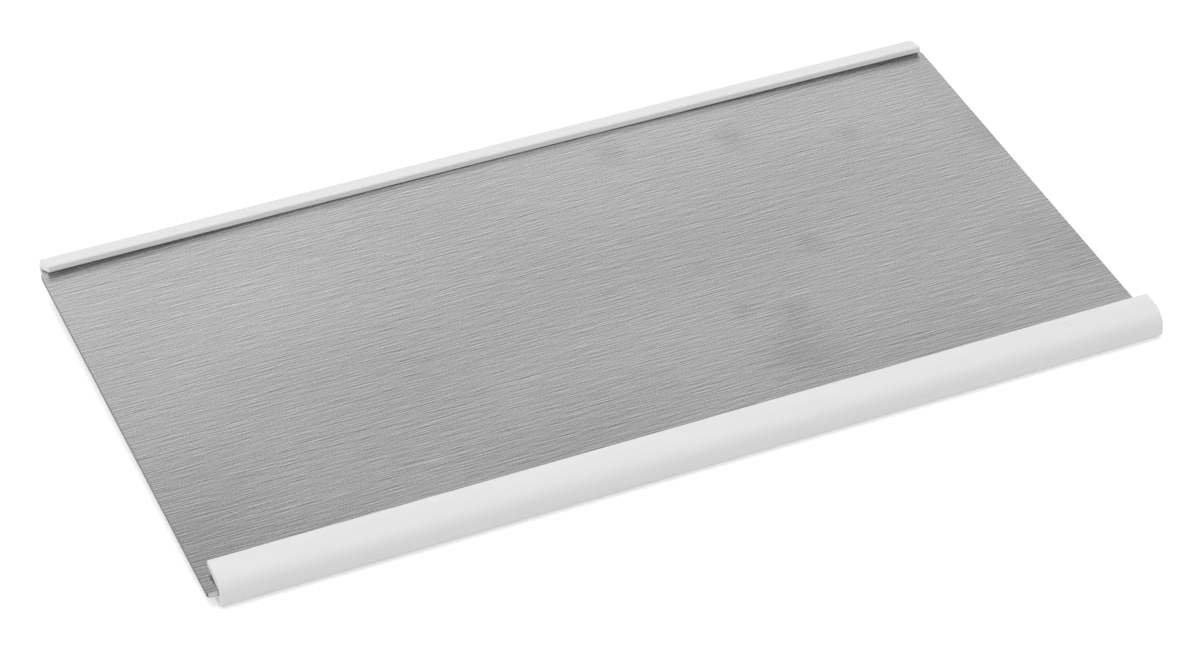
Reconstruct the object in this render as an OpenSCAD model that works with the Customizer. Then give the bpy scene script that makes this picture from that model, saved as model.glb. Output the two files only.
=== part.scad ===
// Card scraper: a thin flat steel card with a white push-on guard along each long edge.
// Millimetres. X runs along the blade, Y from its front edge to its rear edge, Z up.
// The origin is the bottom centre of the whole part's bounding box.

/* [Blade] */
// Length of the steel card, along its two guarded edges
blade_l = 125; // [100:1:150]
// Width of the steel card, from its front edge to its rear edge
blade_w = 62; // [50:1:75]
// Thickness of the steel card
blade_t = 0.6; // [0.4:0.05:0.7]
// Radius of the card's four corners, seen from above
blade_corner_r = 0.4; // [0.2:0.1:2]

/* [Guard section] */
// Depth of a guard, from the tips of its lips to its nose
guard_d = 4.7; // [4.5:0.1:5.5]
// Height of a guard, from its flat underside to its flat top
guard_h = 3.9; // [3.8:0.1:4.2]
// Thickness of each lip at the mouth of the slot
lip_t = 0.85; // [0.75:0.05:0.95]
// Radius of the outer corner of each lip's tip
lip_r = 0.3; // [0.1:0.05:0.4]
// Radius of the upper corner of the nose
nose_top_r = 2.5; // [1.5:0.1:2.5]
// Radius of the lower corner of the nose
nose_bottom_r = 1.1; // [0.6:0.1:1.2]

/* [Slot] */
// Depth of the wedge-shaped slot, from the tips of the lips to its bottom
slot_d = 3.9; // [3.6:0.1:4.1]
// Length of the parallel channel at the bottom of the slot
channel_l = 0.9; // [0.7:0.1:1.1]
// Clearance between the blade and each wall that holds it
grip_gap = 0.05; // [0.02:0.01:0.1]

/* [Front guard] */
// How much shorter the front guard is than the blade
front_short = 0.5; // [0:0.1:4]
// How far the front guard is pushed along the blade from its middle
front_shift = 1.1; // [-3:0.1:3]

/* [Rear guard] */
// How much shorter the rear guard is than the blade
rear_short = 1.4; // [0:0.1:4]
// How far the rear guard is pushed along the blade from its middle
rear_shift = 0.2; // [-3:0.1:3]
// Tilt of the rear guard: the angle by which its nose dips
rear_tilt = 16; // [12:1:18]
// How far the rear guard's upper lip reaches over the blade, at the guard's ends
rear_reach_end = 0.7; // [0.4:0.05:1.2]
// How far the rear guard's upper lip reaches over the blade, in the guard's middle
rear_reach_mid = 0.1; // [0.05:0.05:0.3]
// How far the slot's upper wall is lifted off the blade's rear edge, at the guard's ends
rear_lift = 0.1; // [0.05:0.05:0.6]

/* [Hidden] */

// How far a cut runs past the face that it opens
overrun = 0.5;
// Segments in a full turn of the small rounds, and of the rear guard's long arc
round_fn = 48;
arc_fn = 2400;
steel_colour = [0.66, 0.66, 0.67];
plastic_colour = [0.94, 0.94, 0.93];

// The slot narrows from its mouth to a channel that grips the blade's edge
mouth_half = guard_h / 2 - lip_t;
channel_half = blade_t / 2 + grip_gap;
wedge_l = slot_d - channel_l;
wedge_angle = atan((mouth_half - channel_half) / wedge_l);

// The front guard is pushed home: the blade's edge stands just off the slot's bottom
front_guard_l = blade_l - front_short;
front_tip_y = -blade_w / 2 - grip_gap + slot_d;

// The rear guard is barely on: the upper wall of its slot hangs over the blade's rear edge, close
// in the middle and lifted at the ends, as far as the lower lip allows. Each place, as Y and Z
// from the blade's middle, is that of the inner corner of the lower lip's tip.
rear_guard_l = blade_l - rear_short;
wall_slope = rear_tilt + wedge_angle;
lip_step_y = 2 * mouth_half * sin(rear_tilt);
lip_step_z = 2 * mouth_half * cos(rear_tilt);
function seat_y(reach) = blade_w / 2 - reach - lip_step_y;
function seat_z(reach, gap) = blade_t / 2 + reach * tan(wall_slope) + gap / cos(wall_slope) - lip_step_z;
rear_end_y = seat_y(rear_reach_end);
rear_end_z = min(seat_z(rear_reach_end, rear_lift), -blade_t / 2 - grip_gap);
rear_mid_y = seat_y(rear_reach_mid);
rear_mid_z = seat_z(rear_reach_mid, grip_gap);

// The bow is a long arc from the ends through the middle, in a plane that leans below level
rear_bow = norm([rear_mid_y - rear_end_y, rear_mid_z - rear_end_z]);
rear_lean = atan2(rear_end_z - rear_mid_z, rear_mid_y - rear_end_y);
rear_arc_r = (rear_guard_l * rear_guard_l / 4 + rear_bow * rear_bow) / (2 * rear_bow);
rear_arc_angle = 2 * asin(rear_guard_l / 2 / rear_arc_r);

// Centres of the nose's two rounds, from the inner corner of the lower lip's tip
nose_top = [guard_d - nose_top_r, mouth_half + guard_h / 2 - nose_top_r];
nose_bottom = [guard_d - nose_bottom_r, mouth_half - guard_h / 2 + nose_bottom_r];

// Bounding box of the whole part, about the middle of the blade
box_left = min(-blade_l / 2, front_shift - front_guard_l / 2, rear_shift - rear_guard_l / 2);
box_right = max(blade_l / 2, front_shift + front_guard_l / 2, rear_shift + rear_guard_l / 2);
box_front = front_tip_y - guard_d;
box_rear = rear_mid_y + nose_top[0] * cos(rear_tilt) + nose_top[1] * sin(rear_tilt) + nose_top_r;
box_bottom = min(
    -guard_h / 2,
    rear_mid_z - nose_bottom[0] * sin(rear_tilt) + nose_bottom[1] * cos(rear_tilt) - nose_bottom_r
);
blade_place = [-(box_left + box_right) / 2, -(box_front + box_rear) / 2, -box_bottom];

// What rounding takes off a square corner that points to +X and +Y
module corner_cut(r) {
    difference() {
        square(r + overrun);
        circle(r, $fn = round_fn);
    }
}

// Outline of the blade, seen from above
module blade_outline() {
    difference() {
        square([blade_l, blade_w], center = true);
        for (side = [0, 1], end = [0, 1])
            mirror([side, 0]) mirror([0, end])
                translate([blade_l / 2 - blade_corner_r, blade_w / 2 - blade_corner_r])
                    corner_cut(blade_corner_r);
    }
}

// The slot: a wedge that runs out past the mouth, and the channel at its bottom
module slot_outline() {
    open_half = mouth_half + overrun * tan(wedge_angle);
    polygon([
        [-overrun, -open_half],
        [wedge_l, -channel_half],
        [slot_d, -channel_half],
        [slot_d, channel_half],
        [wedge_l, channel_half],
        [-overrun, open_half]
    ]);
}

// Cross-section of a guard: lips at x = 0, nose towards +X, slot centred on y = 0
module guard_section() {
    difference() {
        translate([0, -guard_h / 2]) square([guard_d, guard_h]);
        translate([guard_d - nose_top_r, guard_h / 2 - nose_top_r])
            corner_cut(nose_top_r);
        mirror([0, 1]) translate([guard_d - nose_bottom_r, guard_h / 2 - nose_bottom_r])
            corner_cut(nose_bottom_r);
        for (side = [0, 1])
            mirror([0, side]) translate([lip_r, guard_h / 2 - lip_r])
                mirror([1, 0]) corner_cut(lip_r);
        slot_outline();
    }
}

// The flat steel card
module scraper_blade() {
    color(steel_colour)
        translate(blade_place) translate([0, 0, -blade_t / 2])
            linear_extrude(blade_t) blade_outline();
}

// The straight guard, pushed home on the front edge
module front_edge_guard() {
    color(plastic_colour)
        translate(blade_place) translate([front_shift, front_tip_y, 0])
            rotate([90, 0, 90])
                linear_extrude(front_guard_l, center = true)
                    mirror([1, 0]) guard_section();
}

// The bowed guard on the rear edge: its tilted section follows a long arc
module rear_edge_guard() {
    color(plastic_colour)
        translate(blade_place) translate([rear_shift, rear_mid_y, rear_mid_z])
            rotate([-rear_lean, 0, 0]) rotate([0, 0, 90])
                translate([-rear_arc_r, 0, 0]) rotate([0, 0, -rear_arc_angle / 2])
                    rotate_extrude(angle = rear_arc_angle, $fn = arc_fn)
                        translate([rear_arc_r, 0]) rotate(rear_lean - rear_tilt)
                            translate([0, mouth_half]) guard_section();
}

scraper_blade();
front_edge_guard();
rear_edge_guard();
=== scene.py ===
"""Looks of a card scraper: a brushed steel card with a white push-on guard along each long edge.

Lengths are in metres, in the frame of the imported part: X along the blade, Y to its rear edge, Z up.
"""

from math import asin, atan, atan2, cos, pi, radians, sin, tan

import bmesh
import bpy
from mathutils import Matrix, Vector


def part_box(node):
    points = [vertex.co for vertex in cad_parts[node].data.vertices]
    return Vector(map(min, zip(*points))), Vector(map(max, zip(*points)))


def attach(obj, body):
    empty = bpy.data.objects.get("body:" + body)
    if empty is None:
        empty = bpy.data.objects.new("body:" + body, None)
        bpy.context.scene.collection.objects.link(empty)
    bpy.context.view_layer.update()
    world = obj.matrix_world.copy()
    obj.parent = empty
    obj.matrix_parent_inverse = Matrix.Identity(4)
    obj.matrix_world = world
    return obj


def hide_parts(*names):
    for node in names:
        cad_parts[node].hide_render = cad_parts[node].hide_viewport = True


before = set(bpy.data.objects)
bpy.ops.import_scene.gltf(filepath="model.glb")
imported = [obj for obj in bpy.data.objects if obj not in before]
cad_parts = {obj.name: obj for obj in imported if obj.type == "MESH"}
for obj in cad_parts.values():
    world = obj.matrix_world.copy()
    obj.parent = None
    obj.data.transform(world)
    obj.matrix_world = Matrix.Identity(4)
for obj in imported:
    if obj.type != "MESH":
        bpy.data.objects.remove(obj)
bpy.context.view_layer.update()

# What the frame gives
blade_low, blade_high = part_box("scraper_blade")
front_low, front_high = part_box("front_edge_guard")
rear_low, rear_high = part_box("rear_edge_guard")
blade_middle = (blade_low + blade_high) / 2
blade_length, blade_width, blade_thickness = blade_high - blade_low
guard_depth = front_high.y - front_low.y
guard_height = front_high.z - front_low.z

# Blade
CORNER_ROUND = 0.0004
EDGE_ROUND = 0.00004

# Section of both guards
LIP_THICKNESS = 0.00085
LIP_ROUND = 0.0003
NOSE_TOP_ROUND = 0.0025
NOSE_BOTTOM_ROUND = 0.0011
SLOT_DEPTH = 0.0039
CHANNEL_LENGTH = 0.0009
GRIP_GAP = 0.00005
TRIM_ROUND = 0.00006

# Seat of the rear guard, which is bowed and barely on
REAR_SHORT = 0.0014
REAR_SHIFT = 0.0002
REAR_TILT = radians(16)
REAR_REACH_END = 0.0007
REAR_REACH_MIDDLE = 0.0001
REAR_LIFT = 0.0001

# Fineness of the meshes
CORNER_STEPS = 8
LIP_STEPS = 8
NOSE_TOP_STEPS = 24
NOSE_BOTTOM_STEPS = 12
BOW_STEPS = 48
ROUND_SEGMENTS = 2
ROUND_PROFILE = 0.5

# The guards' edges are rounded off above the first angle, and shading stays smooth up to the second
ROUNDED_ANGLE = radians(50)
SMOOTH_ANGLE = radians(15)

# Brushing of the steel: length and width of its lines, and how far some are turned off the blade's length
HAIR_SIZE = (0.0032, 0.00012)
STRAND_SIZE = (0.009, 0.00015)
STRAND_TURN = radians(0.5)
CROSSING_SIZE = (0.005, 0.00013)
CROSSING_TURN = radians(-0.8)
BAND_SIZE = (0.06, 0.004)
BRUSHING_DEPTH = 0.000012
BRUSHING_STRENGTH = 0.35

# Shaded side of a scratch, painted shade in the colour and a dip in the bump: how far it lies beside the
# light side, in widths, and how strong it is
SHADED_DIP_OFFSET = 1.6
SHADED_DIP_SHARE = 0.7

# Die lines of the plastic
DIE_LINE_SIZE = (0.08, 0.00022)
DIE_LINE_DEPTH = 0.00002
DIE_LINE_STRENGTH = 0.25

# Tones of the steel and of the plastic, darkest and lightest
SHEET_TONES = (0.23, 0.96)
GROUND_TONES = (0.24, 0.54)
# The shear-cut ends' tones are painted shade, far darker than the steel itself
SHADED_SHEARED_TONES = (0.05, 0.17)
SKIN_TONES = (0.515, 0.585)
CUT_TONES = (0.55, 0.69)

# Limits of smooth steps: how far a face points along an axis, and how high noise rises to make a speck
FACING_LIMITS = (0.5, 0.8)
SPECK_LIMITS = (0.80, 0.86)

# Small stain marks and broad patches of painted shade on the blade, all faint: place from its middle
# along X and Y, and reach
STAINS_AND_SHADE = (
    (0.0444, 0.0183, 0.0026),
    (0.0297, -0.0004, 0.0030),
    (0.0160, -0.0089, 0.0028),
    (0.0217, -0.0121, 0.0042),
    (0.0300, 0.0232, 0.0040),
    (0.0138, 0.0265, 0.0036),
    # Broad patches of painted shade, dimming the steel towards its front-left corner, its front and its
    # right end
    (-0.0600, -0.0260, 0.0160),
    (-0.0450, -0.0310, 0.0120),
    (0.0190, -0.0190, 0.0075),
    (0.0640, 0.0120, 0.0080),
    (0.0610, -0.0120, 0.0140),
)

# A faint S-shaped scuff on the front guard's top: place from the blade's middle, size and look
SCUFF_PLACE = (0.05113, -0.02868)
SCUFF_REACH = 0.0006
SCUFF_SLOPE = -0.42
SCUFF_BEND = 0.00014
SCUFF_WIDTH = 0.00007
SCUFF_TONE = 0.2
SCUFF_STRENGTH = 0.3

# Camera, about the middle of the blade's upper face
CAMERA_AZIMUTH = radians(-25.4815)
CAMERA_ELEVATION = radians(40.2330)
CAMERA_ROLL = radians(1.8936)
CAMERA_DISTANCE = 0.463193
CAMERA_RIGHT = 0.000444
CAMERA_UP = -0.0030197
CLIP_START = 0.01
FOCAL_PIXELS = 3701.842
PHOTO_WIDTH = 1200
SENSOR_WIDTH = 36

# Glow of the room by direction. Heights are 0 at the horizon and 1 straight up. The back wall
# brightens from the floor to half height, then dims, sooner on the right.
WALL_GLOW = 0.385
WALL_RISE = 0.725
WALL_RISE_HEIGHTS = (0.1, 0.45)
WALL_FALL = 1.04
WALL_FALL_HEIGHTS = (0.577, 0.917)
WALL_FALL_SLANT = 0.26
FRONT_GLOW = 0.85
FRONT_RISE = 0.36
FRONT_RISE_HEIGHTS = (0.35, 0.8)
FRONT_TO_BACK = (-0.1, 0.5)

# Softbox: place from the blade's middle, side and radiance
SOFTBOX_PLACE = Vector((-0.15, 0.20, 0.82))
SOFTBOX_SIDE = 0.6
SOFTBOX_RADIANCE = 4.2

# Floor
FLOOR_REACH = 3.0
FLOOR_TONE = 0.70
FLOOR_ROUGHNESS = 0.9
FLOOR_GLOW = 0.30


class Value:
    """A socket of a node tree. Arithmetic on it adds Math nodes."""

    def __init__(self, nodes, socket):
        self.nodes = nodes
        self.socket = socket

    def maths(self, operation, first, second=0.0):
        return self.nodes.node("Math", {"operation": operation}, {0: first, 1: second})

    def __add__(self, other):
        return self.maths("ADD", self, other)

    def __radd__(self, other):
        return self.maths("ADD", other, self)

    def __sub__(self, other):
        return self.maths("SUBTRACT", self, other)

    def __rsub__(self, other):
        return self.maths("SUBTRACT", other, self)

    def __mul__(self, other):
        return self.maths("MULTIPLY", self, other)

    def __rmul__(self, other):
        return self.maths("MULTIPLY", other, self)

    def __abs__(self):
        return self.maths("ABSOLUTE", self)


class Nodes:
    """The node tree of a finish or of the studio's light."""

    def __init__(self, tree):
        self.tree = tree
        self.tree.nodes.clear()

    def node(self, kind, settings=(), sockets=(), out=0):
        """Adds a node. Its settings are set first, then the values or links of its sockets."""
        made = self.tree.nodes.new("ShaderNode" + kind)
        for name, setting in dict(settings).items():
            setattr(made, name, setting)
        for name, value in dict(sockets).items():
            if isinstance(value, Value):
                self.tree.links.new(value.socket, made.inputs[name])
            else:
                made.inputs[name].default_value = value
        return Value(self, made.outputs[out]) if made.outputs else None

    def place(self):
        return self.node("TexCoord", out="Object")

    def split(self, vector):
        """The X, Y and Z of a vector."""
        return [self.node("SeparateXYZ", {}, {0: vector}, out=axis) for axis in "XYZ"]

    def step(self, value, low, high):
        """0 below low, 1 above high, smooth between them."""
        limits = {"Value": value, "From Min": low, "From Max": high}
        return self.node("MapRange", {"interpolation_type": "SMOOTHSTEP"}, limits)

    def faces(self, axis):
        """1 where the surface faces along an axis, either way, and 0 where it faces across it."""
        normal = self.node("TexCoord", out="Normal")
        along = abs(self.node("SeparateXYZ", {}, {0: normal}, out=axis))
        return self.step(along, *FACING_LIMITS)

    def turned(self, place, angle):
        """The place turned about Z."""
        spin = {"rotation_type": "Z_AXIS"}
        return self.node("VectorRotate", spin, {"Vector": place, "Angle": angle})

    def noise(self, place, size, detail=2.0):
        """Noise whose features have about the given size along X, Y and Z."""
        scaled = self.node("VectorMath", {"operation": "DIVIDE"}, {0: place, 1: size})
        return self.node("TexNoise", {}, {"Vector": scaled, "Scale": 1.0, "Detail": detail})

    def streaks(self, place, length, width, detail=2.0):
        """Noise drawn out along X."""
        return self.noise(place, (length, width, width), detail)

    def shaded_scratches(self, place, length, width):
        """Fine lines along X, each a lighter line with a darker line beside it, which is painted shade in
        the colour and a dip in the bump.
        """
        offset = (0, SHADED_DIP_OFFSET * width, 0)
        beside = self.node("VectorMath", {"operation": "ADD"}, {0: place, 1: offset})
        shaded_dips = self.streaks(beside, length, width, detail=0)
        return self.streaks(place, length, width, detail=0) - SHADED_DIP_SHARE * shaded_dips

    def specks(self, place, length, width):
        """1 on scattered specks, 0 elsewhere."""
        return self.step(self.streaks(place, length, width, detail=0), *SPECK_LIMITS)

    def blend(self, share, first, second):
        """A colour between two, by the share of the second."""
        return self.node("Mix", {"data_type": "RGBA"}, {0: share, 6: first, 7: second}, out=2)

    def greys(self, share, tones):
        """A grey between two tones, by the share of the second."""
        return self.blend(share, grey(tones[0]), grey(tones[1]))

    def bump(self, height, distance, strength):
        return self.node("Bump", {}, {"Height": height, "Distance": distance, "Strength": strength})

    def surface(self, sockets):
        shader = self.node("BsdfPrincipled", {}, sockets)
        self.node("OutputMaterial", {}, {"Surface": shader})


def new_finish(name):
    material = bpy.data.materials.new(name)
    material.use_nodes = True
    return material, Nodes(material.node_tree)


def grey(tone):
    """A grey with a trace of blue."""
    return (tone, tone, tone * 1.01, 1)


def stains_and_shade(finish, place):
    """How many stain marks and broad patches of painted shade cover a place, with soft and ragged
    borders.
    """
    ragged = finish.noise(place, (0.003, 0.0008, 0.0008), detail=3)
    cover = 0.0
    for along, across, reach in STAINS_AND_SHADE:
        spot = Vector((blade_middle.x + along, blade_middle.y + across, blade_high.z))
        distance = finish.node("VectorMath", {"operation": "DISTANCE"}, {0: place, 1: spot}, out="Value")
        cover = cover + (1 - finish.step(distance + reach * ragged, 0.5 * reach, 1.5 * reach))
    return cover


def brushed_steel():
    """Steel sheet brushed along its length, faintly stained, with ground edges, painted shade and sheen,
    and shear-cut ends painted dark as shade.
    """
    material, finish = new_finish("brushed_steel")
    place = finish.place()
    # These lines go into the steel's colour with painted shade beside each one, and into its bump as dips
    hairs = finish.shaded_scratches(place, *HAIR_SIZE)
    strands = finish.shaded_scratches(finish.turned(place, STRAND_TURN), *STRAND_SIZE)
    crossing = finish.shaded_scratches(finish.turned(place, CROSSING_TURN), *CROSSING_SIZE)
    bands = finish.streaks(place, *BAND_SIZE)
    grain = finish.noise(place, (0.00015, 0.00016, 0.00016), detail=0)
    # Broad lighter and darker clouds painted into the steel's colour stand for uneven reflection: painted
    # sheen. The same noise also varies the roughness
    painted_sheen_drift = finish.noise(place, (0.045, 0.028, 0.028), detail=1)
    brushing = 0.64 * hairs + 0.34 * strands + 0.30 * crossing + 0.04 * bands + 0.60 * grain
    tone = brushing + 0.26 * painted_sheen_drift - 0.115
    pits = finish.specks(place, 0.0004, 0.0003)

    # The sheet's colour is darkened by stain marks, pits and the broad patches of painted shade
    sheet = finish.greys(tone - 0.10 * stains_and_shade(finish, place) - 0.2 * pits, SHEET_TONES)
    # The shear-cut ends are painted near black, painted shade for the dim surroundings they mirror, over
    # their shear-cut texture
    shaded_sheared = finish.greys(finish.noise(place, (0.002, 0.0003, 0.0001)), SHADED_SHEARED_TONES)
    ground = finish.greys(0.35 + strands, GROUND_TONES)
    ends = finish.faces("X")
    finish.surface({
        "Base Color": finish.blend(ends, finish.blend(finish.faces("Y"), sheet, ground), shaded_sheared),
        "Metallic": 1.0,
        "Roughness": 0.22 + 0.12 * strands + 0.08 * painted_sheen_drift + 0.15 * ends,
        "Normal": finish.bump(brushing, BRUSHING_DEPTH, BRUSHING_STRENGTH),
    })
    return material


def scuff(finish, place):
    """1 on the scuff, 0 elsewhere."""
    along, across, height = finish.split(place)
    along = along - (blade_middle.x + SCUFF_PLACE[0])
    across = across - (blade_middle.y + SCUFF_PLACE[1])
    bend = finish.node("Math", {"operation": "SINE"}, {0: along * (pi / SCUFF_REACH)})
    stray = abs(across - SCUFF_SLOPE * along + SCUFF_BEND * bend)
    line = 1 - finish.step(stray, 0.4 * SCUFF_WIDTH, 1.6 * SCUFF_WIDTH)
    inside = 1 - finish.step(abs(along), 0.8 * SCUFF_REACH, 1.1 * SCUFF_REACH)
    return line * inside * finish.step(height, blade_high.z, front_high.z - LIP_ROUND)


def white_plastic():
    """Extruded white plastic with faint die lines, and matt sawn ends."""
    material, finish = new_finish("white_plastic")
    place = finish.place()
    lines = finish.streaks(place, *DIE_LINE_SIZE)
    cloud = finish.noise(place, (0.012, 0.002, 0.002))
    dust = finish.specks(place, 0.0006, 0.0004)
    sawn = finish.faces("X")
    saw_marks = finish.noise(place, (0.001, 0.0012, 0.00012))
    skin = finish.greys(0.5 * lines + 0.5 * cloud - 0.25 * dust, SKIN_TONES)
    skin = finish.blend(SCUFF_STRENGTH * scuff(finish, place), skin, grey(SCUFF_TONE))
    cut = finish.greys(saw_marks, CUT_TONES)
    finish.surface({
        "Base Color": finish.blend(sawn, skin, cut),
        "Roughness": 0.34 + 0.12 * cloud + 0.3 * sawn,
        "Normal": finish.bump(0.7 * lines + saw_marks * sawn, DIE_LINE_DEPTH, DIE_LINE_STRENGTH),
    })
    return material


def make_piece(name, solid, material, body, node):
    """Makes a piece from a bmesh, and lets it ride on a body in place of a CAD node."""
    mesh = bpy.data.meshes.new(name)
    solid.to_mesh(mesh)
    solid.free()
    mesh.polygons.foreach_set("use_smooth", [True] * len(mesh.polygons))
    mesh.set_sharp_from_angle(angle=SMOOTH_ANGLE)
    mesh.materials.append(material)
    piece = bpy.data.objects.new(name, mesh)
    bpy.context.scene.collection.objects.link(piece)
    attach(piece, body)
    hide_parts(node)


def arc(centre, radius, start, end, steps):
    """Points of an arc, from one angle to the other."""
    turns = [start + (end - start) * i / steps for i in range(steps + 1)]
    return [(centre[0] + radius * cos(t), centre[1] + radius * sin(t)) for t in turns]


def joined(rings):
    """A closed solid through rings of points."""
    solid = bmesh.new()
    rows = [[solid.verts.new(point) for point in ring] for ring in rings]
    count = len(rows[0])
    for row, following in zip(rows, rows[1:]):
        for i in range(count):
            j = (i + 1) % count
            solid.faces.new((row[i], row[j], following[j], following[i]))
    solid.faces.new(rows[0][::-1])
    solid.faces.new(rows[-1])
    return solid


def round_off(solid, edges, radius):
    bmesh.ops.bevel(
        solid,
        geom=edges,
        offset=radius,
        segments=ROUND_SEGMENTS,
        profile=ROUND_PROFILE,
        affect="EDGES",
        clamp_overlap=True,
    )


def card_solid():
    """The steel card. Its rim is rounded off at the corners, and square along the straight sides."""
    half_x = blade_length / 2 - CORNER_ROUND
    half_y = blade_width / 2 - CORNER_ROUND
    outline = []
    for turn, (side, end) in enumerate(((1, 1), (-1, 1), (-1, -1), (1, -1))):
        centre = (blade_middle.x + side * half_x, blade_middle.y + end * half_y)
        outline += arc(centre, CORNER_ROUND, turn * pi / 2, (turn + 1) * pi / 2, CORNER_STEPS)
    solid = joined([[Vector((x, y, z)) for x, y in outline] for z in (blade_low.z, blade_high.z)])
    rim = [edge for edge in solid.edges if abs(edge.verts[0].co.z - edge.verts[1].co.z) < EDGE_ROUND]
    round_off(solid, rim, EDGE_ROUND)
    return solid


def strip_solid(rings):
    """A guard strip through rings of points, with its sharp edges rounded off."""
    solid = joined(rings)
    bmesh.ops.recalc_face_normals(solid, faces=solid.faces)
    sharp = [edge for edge in solid.edges if edge.calc_face_angle() > ROUNDED_ANGLE]
    round_off(solid, sharp, TRIM_ROUND)
    return solid


# The guards' slot narrows from its mouth to a channel that grips the blade's edge
mouth_half = guard_height / 2 - LIP_THICKNESS
channel_half = blade_thickness / 2 + GRIP_GAP
wedge_length = SLOT_DEPTH - CHANNEL_LENGTH
wedge_angle = atan((mouth_half - channel_half) / wedge_length)


def guard_section():
    """Outline of a guard: lips at 0, nose towards +, slot centred on 0."""
    top = guard_height / 2
    low_nose = (guard_depth - NOSE_BOTTOM_ROUND, NOSE_BOTTOM_ROUND - top)
    high_nose = (guard_depth - NOSE_TOP_ROUND, top - NOSE_TOP_ROUND)
    points = arc(low_nose, NOSE_BOTTOM_ROUND, -pi / 2, 0, NOSE_BOTTOM_STEPS)
    points += arc(high_nose, NOSE_TOP_ROUND, 0, pi / 2, NOSE_TOP_STEPS)
    points += arc((LIP_ROUND, top - LIP_ROUND), LIP_ROUND, pi / 2, pi, LIP_STEPS)
    points += [
        (0, mouth_half),
        (wedge_length, channel_half),
        (SLOT_DEPTH, channel_half),
        (SLOT_DEPTH, -channel_half),
        (wedge_length, -channel_half),
        (0, -mouth_half),
    ]
    points += arc((LIP_ROUND, LIP_ROUND - top), LIP_ROUND, pi, 3 * pi / 2, LIP_STEPS)
    return points


def front_guard_rings():
    """The straight guard's section at its two ends."""
    middle = (front_low.z + front_high.z) / 2
    return [
        [Vector((x, front_high.y - u, middle + w)) for u, w in guard_section()]
        for x in (front_low.x, front_high.x)
    ]


def rear_seat(reach, gap):
    """Place, along Y and Z, of the inner corner of the lower lip's tip on the rear guard."""
    slope = REAR_TILT + wedge_angle
    return Vector((
        blade_high.y - reach - 2 * mouth_half * sin(REAR_TILT),
        blade_high.z + reach * tan(slope) + gap / cos(slope) - 2 * mouth_half * cos(REAR_TILT),
    ))


def rear_guard_rings():
    """The tilted guard's section along its bow, a long arc in a leaning plane."""
    end = rear_seat(REAR_REACH_END, REAR_LIFT)
    seat = rear_seat(REAR_REACH_MIDDLE, GRIP_GAP)
    bow = (seat - end).length
    lean = atan2(end.y - seat.y, seat.x - end.x)
    length = blade_length - REAR_SHORT
    radius = (length * length / 4 + bow * bow) / (2 * bow)
    half_turn = asin(length / 2 / radius)
    outward = Vector((0, cos(lean), -sin(lean)))
    axis = Vector((0, sin(lean), cos(lean)))
    middle = Vector((blade_middle.x + REAR_SHIFT, seat.x, seat.y))
    tilted = []
    for u, w in guard_section():
        rise = w + mouth_half
        tilted.append(Vector((
            0,
            u * cos(REAR_TILT) + rise * sin(REAR_TILT),
            -u * sin(REAR_TILT) + rise * cos(REAR_TILT),
        )))
    rings = []
    for i in range(BOW_STEPS + 1):
        turn = half_turn * (2 * i / BOW_STEPS - 1)
        ring = []
        for point in tilted:
            reach = radius + point.dot(outward)
            bowed = Vector((reach * sin(turn), 0, 0)) + (reach * cos(turn) - radius) * outward
            ring.append(middle + bowed + point.dot(axis) * axis)
        rings.append(ring)
    return rings


def put_camera():
    azimuth, elevation = CAMERA_AZIMUTH, CAMERA_ELEVATION
    back = Vector((sin(azimuth) * cos(elevation), -cos(azimuth) * cos(elevation), sin(elevation)))
    level = Vector((cos(azimuth), sin(azimuth), 0))
    upright = back.cross(level)
    right = level * cos(CAMERA_ROLL) + upright * sin(CAMERA_ROLL)
    up = upright * cos(CAMERA_ROLL) - level * sin(CAMERA_ROLL)
    target = Vector((blade_middle.x, blade_middle.y, blade_high.z))
    place = target + right * CAMERA_RIGHT + up * CAMERA_UP + back * CAMERA_DISTANCE
    lens = bpy.data.cameras.new("camera")
    lens.sensor_width = SENSOR_WIDTH
    lens.lens = FOCAL_PIXELS * SENSOR_WIDTH / PHOTO_WIDTH
    lens.clip_start = CLIP_START
    camera = bpy.data.objects.new("camera", lens)
    camera.matrix_world = Matrix((
        (right.x, up.x, back.x, place.x),
        (right.y, up.y, back.y, place.y),
        (right.z, up.z, back.z, place.z),
        (0, 0, 0, 1),
    ))
    bpy.context.scene.collection.objects.link(camera)
    bpy.context.scene.camera = camera


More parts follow.
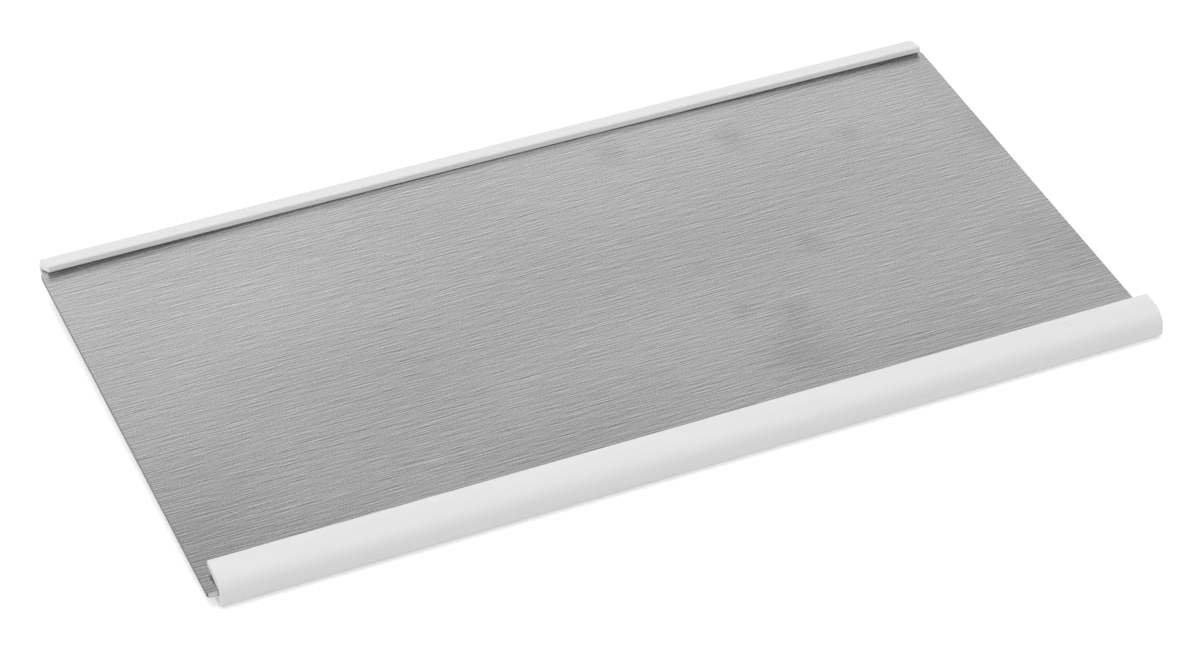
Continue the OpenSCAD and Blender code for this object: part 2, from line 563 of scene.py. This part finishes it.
def light_room():
    """A soft pale room, which the steel mirrors."""
    world = bpy.data.worlds.new("studio")
    bpy.context.scene.world = world
    world.use_nodes = True
    room = Nodes(world.node_tree)
    sideways, rearward, height = room.split(room.node("TexCoord", out="Generated"))
    back_wall = WALL_GLOW + WALL_RISE * room.step(height, *WALL_RISE_HEIGHTS)
    slanted = height + WALL_FALL_SLANT * sideways
    back_wall = back_wall - WALL_FALL * room.step(slanted, *WALL_FALL_HEIGHTS)
    front = FRONT_GLOW + FRONT_RISE * room.step(height, *FRONT_RISE_HEIGHTS)
    glow = front + room.step(rearward, *FRONT_TO_BACK) * (back_wall - front)
    light = room.node("Background", {}, {"Color": (1, 1, 1, 1), "Strength": glow})
    room.node("OutputWorld", {}, {"Surface": light})


def hang_softbox():
    """A square soft light overhead that faces the blade. The steel doesn't mirror it."""
    lamp = bpy.data.lights.new("key_softbox", "AREA")
    lamp.shape = "SQUARE"
    lamp.size = SOFTBOX_SIDE
    lamp.energy = SOFTBOX_RADIANCE * pi * SOFTBOX_SIDE * SOFTBOX_SIDE
    box = bpy.data.objects.new("key_softbox", lamp)
    box.location = blade_middle + SOFTBOX_PLACE
    box.rotation_euler = SOFTBOX_PLACE.to_track_quat("Z", "Y").to_euler()
    box.visible_camera = False
    box.visible_glossy = False
    bpy.context.scene.collection.objects.link(box)


def lay_floor():
    """A pale floor that touches the undersides of both guards."""
    front_y = front_low.y + NOSE_BOTTOM_ROUND
    rear_y = rear_high.y - NOSE_BOTTOM_ROUND
    fall = (front_low.z - rear_low.z) / (rear_y - front_y)
    far = FLOOR_REACH
    corners = [(-far, -far), (far, -far), (far, far), (-far, far)]
    mesh = bpy.data.meshes.new("floor")
    mesh.from_pydata([(x, y, rear_low.z + (rear_y - y) * fall) for x, y in corners], [], [(0, 1, 2, 3)])
    material, finish = new_finish("floor")
    finish.surface({
        "Base Color": grey(FLOOR_TONE),
        "Roughness": FLOOR_ROUGHNESS,
        "Emission Color": grey(1.0),
        "Emission Strength": FLOOR_GLOW,
    })
    mesh.materials.append(material)
    floor = bpy.data.objects.new("floor", mesh)
    bpy.context.scene.collection.objects.link(floor)


put_camera()
light_room()
hang_softbox()
lay_floor()
steel = brushed_steel()
plastic = white_plastic()
make_piece("steel_card", card_solid(), steel, "blade", "scraper_blade")
for side, rings in (("front", front_guard_rings()), ("rear", rear_guard_rings())):
    strip = strip_solid(rings)
    make_piece(
        f"{side}_guard_strip", strip, plastic, f"{side}_guard", f"{side}_edge_guard"
    )
bpy.context.scene.view_settings.view_transform = "Standard"
